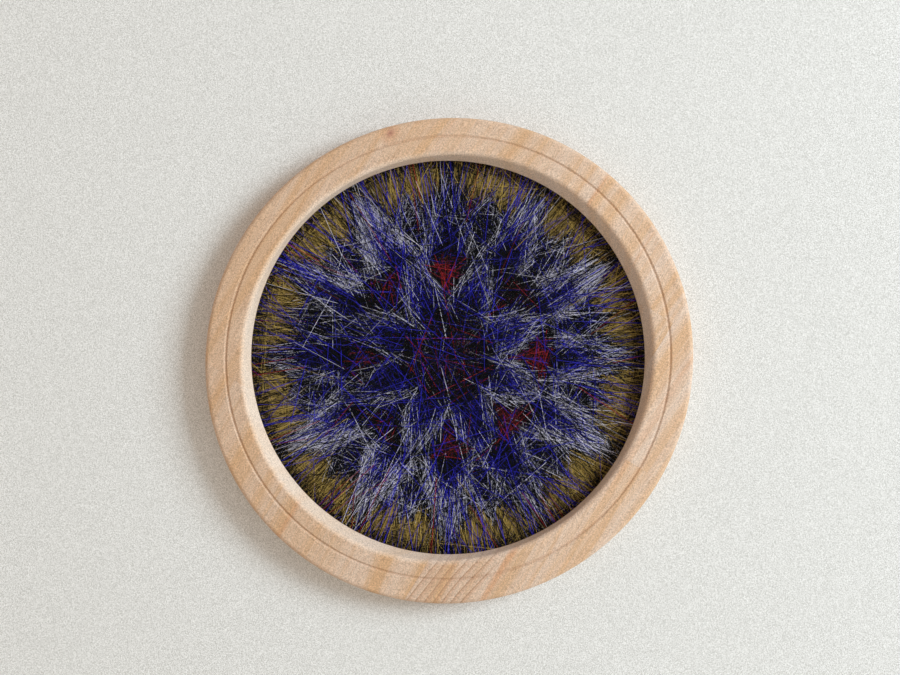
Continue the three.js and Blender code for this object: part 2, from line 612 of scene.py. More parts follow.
@dataclass(frozen=True)
class BlackBoard:
    """Thin board, stained black."""

    stain: tuple = (22, 20, 23)
    worn: tuple = (46, 42, 42)

    def make(self, effects: Effects) -> bpy.types.Material:
        """Builds the material.

        Args:
            effects: The shared shader groups.

        Returns:
            The finished material.
        """
        material, shader, surface = new_material("black_board", 0.8)
        place = shader.add("TexCoord").outputs["Object"]
        grain = effects.grain.place(shader, {"Vector": place, "Line Spacing": 9 * MM})
        speck = effects.mottle.place(shader, {"Vector": place, "Speck": 0.6 * MM})
        worn = shader.times(grain["Fibres"], shader.step(speck["Broad"], 0.35, 0.7))
        colour = shader.mix(worn, linear(*self.stain), linear(*self.worn))
        rough = shader.ranged(speck["Fine"], 0.65, 0.9)
        relief = shader.bump(grain["Fibres"], 0.3, 0.1 * MM)
        shader.wire(surface, Base_Color=colour, Roughness=rough, Normal=relief)
        return material


@dataclass(frozen=True)
class Plaster:
    """Off-white paint on fine plaster. It is seen from the room side only."""

    paint: tuple = (252, 251, 249)
    shade: tuple = (192, 191, 186)

    def make(self, effects: Effects) -> bpy.types.Material:
        """Builds the material.

        Args:
            effects: The shared shader groups.

        Returns:
            The finished material.
        """
        material, shader, surface = new_material("wall_plaster", 0.9)
        place = shader.add("TexCoord").outputs["Object"]
        speck = effects.mottle.place(shader, {"Vector": place, "Speck": 0.52 * MM})
        colour = shader.mix(shader.step(speck["Fine"], 0.34, 0.66), linear(*self.shade), linear(*self.paint))
        shader.wire(surface, Base_Color=colour, Normal=shader.bump(speck["Fine"], 0.35, 0.35 * MM))
        facing = shader.add("NewGeometry").outputs["Backfacing"]
        clear = shader.add("BsdfTransparent").outputs[0]
        shown = shader.add("MixShader", {0: facing, 1: surface.outputs[0], 2: clear}).outputs[0]
        shader.tree.links.new(shown, shader.tree.nodes["Material Output"].inputs["Surface"])
        return material


# ---- The ring ----------------------------------------------------------------------------------------


@dataclass(frozen=True)
class ProfileLine:
    """One line of the ring before it is turned: where it runs, and how the hand shaping moves it."""

    radius: float
    depth: float
    oval: float = 0.0
    low: float = 0.0
    # Painted shade in the groove, 0 to 1.
    groove_shade: float = 0.0
    # How much of the pale colour the line gets: partly real sanding, partly painted light.
    bare_and_lit: float = 0.0


@dataclass
class FrameRing:
    """The wooden ring: rounded outer edge, one cut groove, a leaning wall inside and a rebate behind."""

    material: bpy.types.Material
    segments: int = 288
    corner_steps: int = 8
    sight_radius: float = 123 * MM
    wall_depth: float = 10.5 * MM
    wall_lean: float = math.radians(16)
    lip_land: float = 1 * MM
    rebate_radius: float = 131 * MM
    face_fall: float = math.radians(5)
    face_round: float = 3 * MM
    arris_round: float = 3 * MM
    back_round: float = 1.5 * MM
    groove_radius: float = 137 * MM
    groove_width: float = 2 * MM
    groove_depth: float = 0.8 * MM
    groove_floor: float = 0.5 * MM
    oval_angle: float = math.radians(38)
    outer_oval: float = 1.4 * MM
    groove_oval: float = 1.1 * MM
    arris_oval: float = 1.6 * MM

    def __post_init__(self) -> None:
        """Takes the overall sizes from the frame."""
        low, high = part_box("frame_ring")
        self.outer_radius = (high.x - low.x + high.z - low.z) / 4
        self.shift = (high.x + low.x) / 2
        self.drop = -(high.z + low.z) / 2
        self.face = low.y
        self.depth = high.y - low.y
        wall = self.wall_depth - self.arris_round * (1 - math.sin(self.wall_lean))
        run = wall * math.tan(self.wall_lean)
        self.arris_radius = self.sight_radius + run + self.arris_round * math.cos(self.wall_lean)

    def face_depth(self, radius: float) -> float:
        """Gives how deep the sloping face lies at a radius, where it touches the rounding of the arris."""
        crest = self.arris_round - self.arris_round / math.cos(self.face_fall)
        return crest + (radius - self.arris_radius) * math.tan(self.face_fall)

    def face_line(self, radius: float, oval: float, low: float = 0.0) -> ProfileLine:
        """Gives one line of the sloping face."""
        return ProfileLine(radius, self.face_depth(radius), oval, low)

    def corner(self, line: ProfileLine, size: float, start: float, end: float) -> list[ProfileLine]:
        """Rounds a corner.

        Args:
            line: The centre of the rounding, with the shaping that its points share.
            size: The rounding's radius.
            start: The first angle in degrees, from outwards towards the back.
            end: The last angle.

        Returns:
            The rounding's lines.
        """
        turns = np.radians(np.linspace(start, end, self.corner_steps + 1))
        return [
            replace(line, radius=line.radius + size * math.cos(t), depth=line.depth + size * math.sin(t))
            for t in turns
        ]

    def opening(self) -> list[ProfileLine]:
        """Gives the leaning wall from the sight edge to the rounded arris, which is paler: sanding and
        painted light.
        """
        centre = ProfileLine(self.arris_radius, self.arris_round, self.arris_oval, bare_and_lit=1.0)
        lean, fall = math.degrees(self.wall_lean), math.degrees(self.face_fall)
        rounded = self.corner(centre, self.arris_round, 180 + lean, 270 + fall)
        foot = ProfileLine(self.sight_radius, self.wall_depth)
        wall = [
            ProfileLine(
                foot.radius + (rounded[0].radius - foot.radius) * share,
                foot.depth + (rounded[0].depth - foot.depth) * share,
                self.arris_oval * share, bare_and_lit=1.0,
            )
            for share in (0.0, 0.06, 0.35, 0.65, 0.94)
        ]
        # The pale colour, partly painted light, fades out over the rounding of the arris.
        fading = np.linspace(1, 0, len(rounded))
        return wall + [replace(line, bare_and_lit=float(bare_and_lit)) for line, bare_and_lit in zip(rounded, fading)]

    def groove(self) -> list[ProfileLine]:
        """Gives the cut groove, with slightly broken edges and painted shade, darkest at its floor."""
        half, floor, broken = self.groove_width / 2, self.groove_floor / 2, 0.15 * MM
        shape = [
            # Each point: how far from the groove's middle, how deep the cut, and how much painted shade.
            (-half - 0.5 * MM, 0.0, 0.0), (-half - broken, 0.0, 0.0), (-half, 0.06 * MM, 0.1),
            (-floor - broken, self.groove_depth * 0.86, 0.8), (-floor / 2, self.groove_depth, 1.0),
            (floor / 2, self.groove_depth, 1.0), (floor + broken, self.groove_depth * 0.86, 0.8),
            (half, 0.06 * MM, 0.1), (half + broken, 0.0, 0.0), (half + 0.5 * MM, 0.0, 0.0),
        ]
        lines = []
        for out, cut, dark in shape:
            radius = self.groove_radius + out
            lines.append(ProfileLine(radius, self.face_depth(radius) + cut, self.groove_oval, 0.0, dark))
        return lines

    def outer_wall(self) -> list[ProfileLine]:
        """Gives the outer edge from its rounding at the face to its rounding at the back."""
        inner = self.outer_radius - self.face_round
        lift = self.face_depth(inner) + self.face_round / math.cos(self.face_fall)
        face = ProfileLine(inner, lift, self.outer_oval, 1.0)
        back = ProfileLine(
            self.outer_radius - self.back_round, self.depth - self.back_round, self.outer_oval, 1.0,
        )
        front = self.corner(face, self.face_round, math.degrees(self.face_fall) - 90, 0)
        rear = self.corner(back, self.back_round, 0, 90)
        wall = [
            ProfileLine(self.outer_radius, depth, self.outer_oval, 1.0)
            for depth in (front[-1].depth + 0.6 * MM, self.depth / 2, rear[0].depth - 0.6 * MM)
        ]
        before = self.face_line(front[0].radius - 0.6 * MM, self.outer_oval, 1.0)
        after = ProfileLine(rear[-1].radius - 0.6 * MM, self.depth, self.outer_oval, 1.0)
        return [before, *front, *wall, *rear, after]

    def profile(self) -> list[ProfileLine]:
        """Gives the whole closed profile, from the sight edge over the face and the back."""
        opening, groove, outer = self.opening(), self.groove(), self.outer_wall()
        inner_face = [self.face_line(opening[-1].radius + 0.5 * MM, self.arris_oval)]
        lip_back = self.wall_depth + self.lip_land
        rear = [
            ProfileLine(self.rebate_radius + 0.4 * MM, self.depth),
            ProfileLine(self.rebate_radius, self.depth - 0.3 * MM),
            ProfileLine(self.rebate_radius, lip_back + 0.3 * MM),
            ProfileLine(self.rebate_radius, lip_back),
            ProfileLine(self.rebate_radius - 0.3 * MM, lip_back),
            ProfileLine(self.sight_radius + 0.2 * MM, lip_back),
            ProfileLine(self.sight_radius, lip_back - 0.2 * MM),
            ProfileLine(self.sight_radius, self.wall_depth + 0.2 * MM),
        ]
        return [*opening, *inner_face, *groove, *outer, *rear]

    def build(self) -> bpy.types.Object:
        """Turns the profile into the ring and shapes it.

        Returns:
            The finished piece.
        """
        lines = self.profile()
        shell = bmesh.new()
        number = shell.verts.layers.int.new("line")
        groove_shade = shell.verts.layers.float.new("groove_shade")
        bare_and_lit = shell.verts.layers.float.new("bare_and_lit")
        corners = []
        for index, line in enumerate(lines):
            vert = shell.verts.new((line.radius, self.face + line.depth, 0.0))
            vert[number] = index
            vert[groove_shade] = line.groove_shade
            vert[bare_and_lit] = line.bare_and_lit
            corners.append(vert)
        edges = [shell.edges.new(pair) for pair in zip(corners, corners[1:] + corners[:1])]
        bmesh.ops.spin(
            shell, geom=corners + edges, cent=(0, 0, 0), axis=(0, 1, 0), dvec=(0, 0, 0),
            angle=2 * math.pi, steps=self.segments, use_merge=True, use_duplicate=False,
        )
        for vert in shell.verts:
            self.shape(vert, lines[vert[number]])
        bmesh.ops.recalc_face_normals(shell, faces=shell.faces)
        return finished_piece("ring", shell, self.material, "frame_ring")

    def shape(self, vert: bmesh.types.BMVert, line: ProfileLine) -> None:
        """Moves one point of the turned ring by its line's oval, drop and shift.

        Args:
            vert: The point.
            line: The profile line that it belongs to.
        """
        angle = math.atan2(vert.co.z, vert.co.x)
        radius = line.radius + line.oval * math.cos(2 * (angle - self.oval_angle))
        vert.co.x = radius * math.cos(angle) + self.shift * line.low
        vert.co.z = radius * math.sin(angle) - self.drop * line.low


def finished_piece(
    name: str, shell: bmesh.types.BMesh, material: bpy.types.Material, node: str,
) -> bpy.types.Object:
    """Turns a bmesh into a piece of the object that stands for a CAD node.

    Args:
        name: The piece's name.
        shell: Its finished mesh, which is freed.
        material: Its material.
        node: The CAD node that it replaces.

    Returns:
        The new piece.
    """
    mesh = bpy.data.meshes.new(name)
    shell.to_mesh(mesh)
    shell.free()
    mesh.shade_smooth()
    return dressed_piece(name, mesh, material, node)


def dressed_piece(
    name: str, mesh: bpy.types.Mesh, material: bpy.types.Material, node: str,
) -> bpy.types.Object:
    """Gives a mesh its object, material and place in the frame.

    Args:
        name: The piece's name.
        mesh: Its mesh, already in place.
        material: Its material.
        node: The CAD node that it replaces.

    Returns:
        The new piece.
    """
    piece = bpy.data.objects.new(name, mesh)
    bpy.context.scene.collection.objects.link(piece)
    mesh.materials.append(material)
    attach(piece, BODY)
    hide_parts(node)
    LOG.info("%s: %d faces", name, len(mesh.polygons))
    return piece


# ---- The laid threads --------------------------------------------------------------------------------


class Shade(Enum):
    """The picture's colours, in display colours."""

    OCHRE = (122, 100, 52)
    WARM = (76, 50, 42)
    RED = (74, 28, 36)
    MAROON = (42, 25, 40)
    BLUE = (40, 39, 94)
    WHITE = (92, 90, 122)
    NAVY = (25, 23, 44)


@dataclass(frozen=True)
class PetalRow:
    """One row of pointed petals.

    The turn is in petals. The foot, where petals meet, and the tip are shares of the picture's radius.
    A power under 1 makes full petals, and ragged is how tufted their edge is.
    """

    count: int
    turn: float
    foot: float
    tip: float
    power: float
    ragged: float


@dataclass
class Rosette:
    """The picture that the threads make: a flower of pointed petals in rows, with tufted edges."""

    radius: float
    seed: int = 11
    outer_petals: int = 12
    inner_petals: int = 8
    rim_shade: float = 0.5

    def __post_init__(self) -> None:
        """Settles the waves that tuft the petals and streak the rim."""
        rng = np.random.default_rng(self.seed)
        self.locks = self.angle_wave(rng, 90)
        self.tufts = self.angle_wave(rng, 120)
        self.clouds = self.patch_wave(rng, 14)
        self.drift = self.patch_wave(rng, 5)
        self.back_row = PetalRow(self.outer_petals, 0.5, 0.58, 0.86, 0.8, 1.3)
        self.front_row = PetalRow(self.outer_petals, 0.0, 0.50, 0.95, 0.75, 1.2)
        self.inner_row = PetalRow(self.inner_petals, 0.5, 0.24, 0.53, 0.6, 0.7)
        self.star = PetalRow(self.inner_petals, 0.0, 0.06, 0.19, 0.8, 0.3)

    def angle_wave(self, rng: np.random.Generator, count: int) -> tuple:
        """Picks sines that go round the picture about count times."""
        return rng.integers(count // 2, count * 2, 30), rng.uniform(0, 2 * math.pi, 30)

    def patch_wave(self, rng: np.random.Generator, count: float) -> tuple:
        """Picks sines that cross the picture in all directions."""
        turn = rng.uniform(0, 2 * math.pi, 24)
        size = count * rng.uniform(0.5, 1.6, 24)
        return np.cos(turn) * size, np.sin(turn) * size, rng.uniform(0, 2 * math.pi, 24)

    def round_wave(self, wave: tuple, angle: Array) -> Array:
        """Gives a wave's height, about -1 to 1, at each angle."""
        return np.sin(wave[0] * angle[..., None] + wave[1]).sum(-1) / 6.2

    def flat_wave(self, wave: tuple, x: Array, z: Array) -> Array:
        """Gives a wave's height, about -1 to 1, at each place."""
        across = (x[..., None] * wave[0] + z[..., None] * wave[1]) / self.radius
        return np.sin(across + wave[2]).sum(-1) / 5.5

    def inside(self, reach: Array, angle: Array, row: PetalRow) -> Array:
        """Measures how far each place lies inside a row of petals.

        Args:
            reach: Each place's distance from the middle, as a share of the radius.
            angle: Its angle.
            row: The row.

        Returns:
            The depth inside the row's edge, under 0 outside it.
        """
        aside = np.abs((angle / (2 * math.pi) * row.count + row.turn + 0.5) % 1 - 0.5) * 2
        edge = row.foot + (row.tip - row.foot) * (1 - aside) ** row.power
        return edge + row.ragged * 0.03 * self.round_wave(self.tufts, angle) - reach

    def colour(self, x: Array, z: Array) -> Array:
        """Gives the colour that the threads aim for.

        Args:
            x: Places to the right of the middle.
            z: Places above it.

        Returns:
            Display colours, 0 to 1, with the channels last.
        """
        reach, angle = np.hypot(x, z) / self.radius, np.arctan2(z, x)
        clouds, drift = self.flat_wave(self.clouds, x, z), self.flat_wave(self.drift, x, z)
        ochre, warm, red, maroon, blue, white, navy = (
            np.broadcast_to(np.array(shade.value, float), reach.shape + (3,)) for shade in Shade
        )
        out = blend(warm, ochre, smooth(0.68, 0.86, reach + 0.06 * drift + 0.03 * clouds))
        out = out * (1 - 0.12 * smooth(0.2, 0.9, self.round_wave(self.locks, angle)))[..., None]
        inside = self.inside(reach, angle, self.back_row)
        leaf = blend(white * 0.8, navy * 1.3, smooth(0.0, 0.12, inside + 0.05 * clouds))
        out = blend(out, leaf, smooth(-0.04, 0.03, inside) * 0.8)
        inside = self.inside(reach, angle, self.front_row)
        out = blend(out, navy, smooth(0.06, 0.0, np.abs(inside + 0.03)) * 0.5)
        leaf = blend(white, blue * 1.1, smooth(0.05, 0.28, inside + 0.05 * clouds))
        leaf = blend(leaf, navy, smooth(0.18, 0.37, inside + 0.05 * clouds))
        out = blend(out, leaf * (1 + 0.4 * drift[..., None]), smooth(-0.04, 0.04, inside))
        heart = blend(maroon, red, smooth(-0.5, 1.0, clouds + drift))
        out = blend(out, heart, smooth(0.58, 0.50, reach + 0.03 * clouds))
        inside = self.inside(reach, angle, self.inner_row)
        out = blend(out, navy, smooth(0.05, 0.0, np.abs(inside + 0.03)) * 0.6)
        leaf = blend(white * 0.85, blue * 0.95, smooth(0.0, 0.14, inside + 0.03 * clouds))
        leaf = blend(leaf, navy * 1.2, smooth(0.08, 0.23, inside + 0.03 * clouds))
        out = blend(out, leaf * (1 + 0.35 * drift[..., None]), smooth(-0.03, 0.03, inside))
        out = blend(out, maroon * 0.9, smooth(0.27, 0.20, reach))
        inside = self.inside(reach, angle, self.star)
        star = blend(white * 0.6, maroon, smooth(0.0, 0.05, inside))
        out = blend(out, star, smooth(-0.02, 0.02, inside) * 0.8)
        out = out * (1 - self.rim_shade * smooth(0.91, 0.99, reach))[..., None]
        return np.clip(out, 4, 255) / 255

    def direction(self, x: Array, z: Array, rng: np.random.Generator) -> Array:
        """Picks the way a thread runs at each place.

        Args:
            x: Places to the right of the middle.
            z: Places above it.
            rng: The source of chance.

        Returns:
            Angles from X towards Z.
        """
        reach, angle = np.hypot(x, z) / self.radius, np.arctan2(z, x)

        def fan(count: int, turn: float, foot: float) -> Array:
            """Gives the way from the foot of the nearest petal of a row."""
            spoke = (np.round(angle / (2 * math.pi) * count + turn) - turn) / count * 2 * math.pi
            return np.arctan2(z - foot * self.radius * np.sin(spoke), x - foot * self.radius * np.cos(spoke))

        way = np.where(reach > 0.6, fan(self.outer_petals, 0.0, 0.46), fan(self.inner_petals, 0.5, 0.16))
        way = np.where((reach > 0.8) & (rng.random(x.shape) < (reach - 0.8) / 0.1), angle, way)
        crossed = ((reach > 0.53) & (reach < 0.62)) | (reach < 0.24)
        way = np.where(crossed & (rng.random(x.shape) < 0.6), angle + math.pi / 2, way)
        spread = np.where(reach > 0.82, 0.14, np.where(crossed, 0.25, 0.34))
        way = way + rng.normal(0, 1, x.shape) * spread
        return np.where(rng.random(x.shape) < 0.10, rng.uniform(0, 2 * math.pi, x.shape), way)


@dataclass
class ThreadPlan:
    """Chooses, thread by thread, where the next one does most for the picture."""

    picture: Rosette
    reach: float
    threads: int = 38000
    ground_threads: int = 1500
    mat_threads: int = 1200
    crossings: int = 1
    strays: int = 26
    offers_per_stray: int = 8
    fan_threads: int = 1300
    hue_weight: float = 1.8
    strife: float = 0.06
    bright: float = 0.55
    dim: float = 0.18
    late_share: float = 0.5
    top_share: float = 0.15
    rim_threads: int = 650
    shadow_threads: int = 800
    cells: int = 140
    cover: float = 0.19
    offered: int = 2600
    taken: int = 40
    shortest: float = 16 * MM
    longest: float = 60 * MM
    marks: int = 24
    seed: int = 5
    ground_shares: tuple = (0.1, 0.42, 0.14, 0.28, 0.06)
    mat_shares: tuple = (0.0, 0.0, 0.0, 0.06, 0.94)
    early_shares: tuple = (0.3, 0.4, 0.08, 0.16, 0.06)
    late_shares: tuple = (0.62, 0.38, 0.0, 0.0, 0.0)
    outer_fan_shares: tuple = (0.58, 0.36, 0.03, 0.02, 0.01)
    inner_fan_shares: tuple = (0.6, 0.36, 0.02, 0.02, 0.0)
    shadow_shares: tuple = (0.8, 0.2, 0.0, 0.0, 0.0)
    hair_shares: tuple = (0.66, 0.26, 0.02, 0.04, 0.02)

    def __post_init__(self) -> None:
        """Sets out the grid on which the picture is judged."""
        self.rng = np.random.default_rng(self.seed)
        self.dyes = self.weighed(np.array([dye.value.seen for dye in Dye], float) / 255)
        middle = ((np.arange(self.cells) + 0.5) / self.cells * 2 - 1) * self.picture.radius
        x, z = np.meshgrid(middle, middle)
        self.aim = self.weighed(self.picture.colour(x, z).reshape(-1, 3))
        self.shade = self.aim.mean(-1)
        self.darkening = False
        self.seen = (np.hypot(x, z) <= self.picture.radius).ravel()
        self.now = np.full_like(self.aim, 0.045)

    def weighed(self, colours: Array) -> Array:
        """Draws colours away from grey, so that a wrong hue counts for more than a wrong lightness."""
        grey = colours.mean(-1, keepdims=True)
        return grey + self.hue_weight * (colours - grey)

    def cell_of(self, places: Array) -> tuple[Array, Array]:
        """Finds the grid cell of each place.

        Args:
            places: Places, with x and z last.

        Returns:
            Each place's cell, and whether it is in the picture.
        """
        index = ((places / self.picture.radius + 1) / 2 * self.cells).astype(int)
        on_grid = ((index >= 0) & (index < self.cells)).all(-1)
        index = index.clip(0, self.cells - 1)
        flat = index[..., 1] * self.cells + index[..., 0]
        return flat, on_grid & self.seen[flat]

    def gain(self, cells: Array) -> Array:
        """Finds how much nearer to the picture each dye would bring the cells.

        Args:
            cells: The cells' numbers.

        Returns:
            A row for each cell and a column for each dye.
        """
        now, aim = self.now[cells], self.aim[cells]
        own = (now * now).sum(-1)[:, None]
        both = (aim * now).sum(-1)[:, None]
        to_dye, from_dye = aim @ self.dyes.T, now @ self.dyes.T
        size = (self.dyes * self.dyes).sum(1)[None]
        lean = np.where(np.arange(len(self.dyes)) == 0, 1 - self.strife, 1 + self.strife)[None]
        gain = 2 * self.cover * (lean * (to_dye - both) - from_dye + own)
        gain = gain - self.cover**2 * (size - 2 * from_dye + own)
        gain[aim[:, 0] < aim[:, 2] * 1.1, list(Dye).index(Dye.OCHRE)] -= 0.02
        if self.darkening:
            gain[self.shade[cells] < self.dim] -= [0.0, 0.0, 0.01, 0.003, 0.02]
        return gain

    def cells_under(self, start: Array, end: Array) -> Array:
        """Gives the cells that a thread crosses."""
        length = math.dist(start, end)
        count = max(2, int(length / (2 * self.picture.radius / self.cells) * 1.5))
        places = start + (end - start) * ((np.arange(count) + 0.5) / count)[:, None]
        cells, inside = self.cell_of(places)
        return np.unique(cells[inside])

    def cover_cells(self, start: Array, end: Array, dye: int) -> Array:
        """Lays one thread on the grid and gives the cells that it crosses."""
        cells = self.cells_under(start, end)
        self.now[cells] += self.cover * (self.dyes[dye] - self.now[cells])
        return cells

    def chords(self, count: int, least: float, most: float, shares: tuple) -> Array:
        """Lays long threads from rim to rim and gives them as rows.

        Args:
            count: How many.
            least: The smallest turn from one end to the other, in half circles.
            most: The greatest.
            shares: Each dye's share.

        Returns:
            A row for each thread.
        """
        start = self.rng.uniform(0, 2 * math.pi, count)
        end = start + self.rng.uniform(least, most, count) * math.pi
        dyes = self.rng.choice(len(Dye), count, p=shares)
        first = np.stack([np.cos(start), np.sin(start)], 1) * self.reach
        last = np.stack([np.cos(end), np.sin(end)], 1) * self.reach
        for one, other, dye in zip(first, last, dyes):
            self.cover_cells(one, other, dye)
        return np.column_stack([first, last, dyes])

    def fans(
        self, count: int, petals: int, turn: float, foot: float, length: tuple, shares: tuple,
    ) -> Array:
        """Lays long threads that fan out from the foot of each petal of a row.

        Args:
            count: How many.
            petals: How many petals the row has.
            turn: The row's turn, in petals.
            foot: Where the fans begin, as a share of the radius.
            length: The least and the greatest length.
            shares: Each dye's share.

        Returns:
            A row for each thread.
        """
        spoke = (self.rng.integers(0, petals, count) - turn) / petals * 2 * math.pi
        out = (foot + self.rng.uniform(0.0, 0.22, count)) * self.picture.radius
        aside = self.rng.normal(0, 0.05, count) * self.picture.radius
        start = np.stack([
            out * np.cos(spoke) - aside * np.sin(spoke), out * np.sin(spoke) + aside * np.cos(spoke),
        ], 1)
        way = spoke + self.rng.normal(0, 0.38, count) + aside / self.picture.radius * 2
        end = start + np.stack([np.cos(way), np.sin(way)], 1) * self.rng.uniform(*length, count)[:, None]
        dyes = self.rng.choice(len(Dye), count, p=shares)
        return np.column_stack([start, self.held(end), dyes])

    def rim_hairs(self) -> Array:
        """Lays thin dark threads from the rim inwards over the ochre ground.

        Returns:
            A row for each thread.
        """
        angle = self.rng.uniform(0, 2 * math.pi, self.rim_threads)
        start = np.stack([np.cos(angle), np.sin(angle)], 1) * self.reach
        way = angle + math.pi + self.rng.normal(0, 0.2, self.rim_threads)
        length = self.rng.uniform(22 * MM, 52 * MM, self.rim_threads)
        end = start + np.stack([np.cos(way), np.sin(way)], 1) * length[:, None]
        dyes = self.rng.choice(len(Dye), self.rim_threads, p=self.hair_shares)
        return np.column_stack([start, end, dyes])

    def shadows(self) -> Array:
        """Lays short dark threads in all directions inside the ochre rim.

        Returns:
            A row for each thread.
        """
        out = np.sqrt(self.rng.random(self.shadow_threads)) * self.picture.radius * 0.78
        angle, way = self.rng.uniform(0, 2 * math.pi, (2, self.shadow_threads))
        middle = np.stack([np.cos(angle), np.sin(angle)], 1) * out[:, None]
        length = self.rng.uniform(8 * MM, 24 * MM, self.shadow_threads)
        half = np.stack([np.cos(way), np.sin(way)], 1) * length[:, None]
        dyes = self.rng.choice(len(Dye), self.shadow_threads, p=self.shadow_shares)
        return np.column_stack([self.held(middle - half), self.held(middle + half), dyes])

    def held(self, ends: Array) -> Array:
        """Draws ends that would pass under the lip back to the rim."""
        far = np.hypot(ends[:, 0], ends[:, 1])
        return ends * np.minimum(1.0, self.reach / np.maximum(far, 1e-9))[:, None]

    def offers(self) -> tuple[Array, Array]:
        """Offers threads at random places. All but the first ones follow the picture's own direction.

        Returns:
            The threads' two ends.
        """
        out = np.sqrt(self.rng.random(self.offered)) * self.picture.radius * 1.02
        angle = self.rng.uniform(0, 2 * math.pi, self.offered)
        x, z = out * np.cos(angle), out * np.sin(angle)
        way = self.picture.direction(x, z, self.rng)
        loose = self.offers_per_stray * self.strays
        way[:loose] = self.rng.uniform(0, 2 * math.pi, loose)
        cells = self.cell_of(np.stack([x, z], 1))[0]
        dark = (self.shade[cells] < self.dim) & (self.rng.random(self.offered) < 0.85)
        way[dark] = self.rng.uniform(0, 2 * math.pi, dark.sum())
        length = self.shortest + (self.longest - self.shortest) * self.rng.random(self.offered) ** 1.5
        half = np.stack([np.cos(way), np.sin(way)], 1) * (length / 2)[:, None]
        middle = np.stack([x, z], 1)
        return self.held(middle - half), self.held(middle + half)

    def stitches(self, count: int, shares: tuple) -> Array:
        """Lays threads one after another where they do most for the picture.

        Args:
            count: How many.
            shares: Each dye's share among the few long threads that cross them.

        Returns:
            A row for each thread.
        """
        gains = self.gain(np.arange(len(self.now))) * self.seen[:, None]
        marks = (np.arange(self.marks) + 0.5) / self.marks
        laid = []
        while len(laid) < count:
            start, end = self.offers()
            length = np.hypot(*(end - start).T)
            places = start[:, None] + (end - start)[:, None] * marks[None, :, None]
            cells, inside = self.cell_of(places)
            worth = (gains[cells] * inside[..., None]).sum(1) * (length[:, None] / self.longest) ** 0.4
            worth[length < 0.6 * self.shortest] = -1
            loose = self.offers_per_stray * self.strays
            if self.darkening:
                worth[:loose, 1:] = -1
            else:
                worth[:, 0] = -1
            best = worth.max(1)
            stray = np.argsort(-best[:loose])[: self.strays]
            follow = loose + np.argsort(-best[loose:])[: self.taken]
            for pick in (*stray, *follow):
                if best[pick] <= 0:
                    continue
                dye = int(worth[pick].argmax())
                crossed = self.cover_cells(start[pick], end[pick], dye)
                gains[crossed] = self.gain(crossed)
                laid.append((*start[pick], *end[pick], dye))
            across = self.chords(self.crossings, 0.5, 1.0, shares)
            laid.extend(map(tuple, across))
            crossed = np.concatenate([self.cells_under(row[:2], row[2:4]) for row in across])
            gains[crossed] = self.gain(crossed)
        return np.array(laid)

    def both_fans(self, count: int) -> Array:
        """Lays fans on the outer petals and fewer on the inner ones, and gives them as rows."""
        outer, inner = self.picture.outer_petals, self.picture.inner_petals
        outer = self.fans(count, outer, 0.0, 0.50, (30 * MM, 75 * MM), self.outer_fan_shares)
        inner = self.fans(count // 4, inner, 0.5, 0.16, (14 * MM, 34 * MM), self.inner_fan_shares)
        return np.concatenate([outer, inner])

    def lay(self) -> Array:
        """Lays all the threads.

        Returns:
            A row for each thread in the order of laying: both ends' x and z, and the dye's number.
        """
        late, top = int(self.threads * self.late_share), int(self.fan_threads * self.top_share)
        aim = self.aim
        peak = aim.max(-1, keepdims=True)
        self.aim = aim * np.maximum(1.0, (self.bright / peak) ** 0.75)
        ground = self.chords(self.ground_threads, 0.45, 1.0, self.ground_shares)
        mat = self.chords(self.mat_threads, 0.18, 0.42, self.mat_shares)
        early = self.stitches(self.threads - late, self.early_shares)
        self.aim, self.darkening = aim, True
        fans = self.both_fans(self.fan_threads - top)
        for row in fans:
            self.cover_cells(row[:2], row[2:4], int(row[4]))
        after = self.stitches(late, self.late_shares)
        over = np.concatenate([self.both_fans(top), self.shadows(), self.rim_hairs()])
        return np.concatenate([ground, mat, early, fans, after, self.rng.permutation(over)])


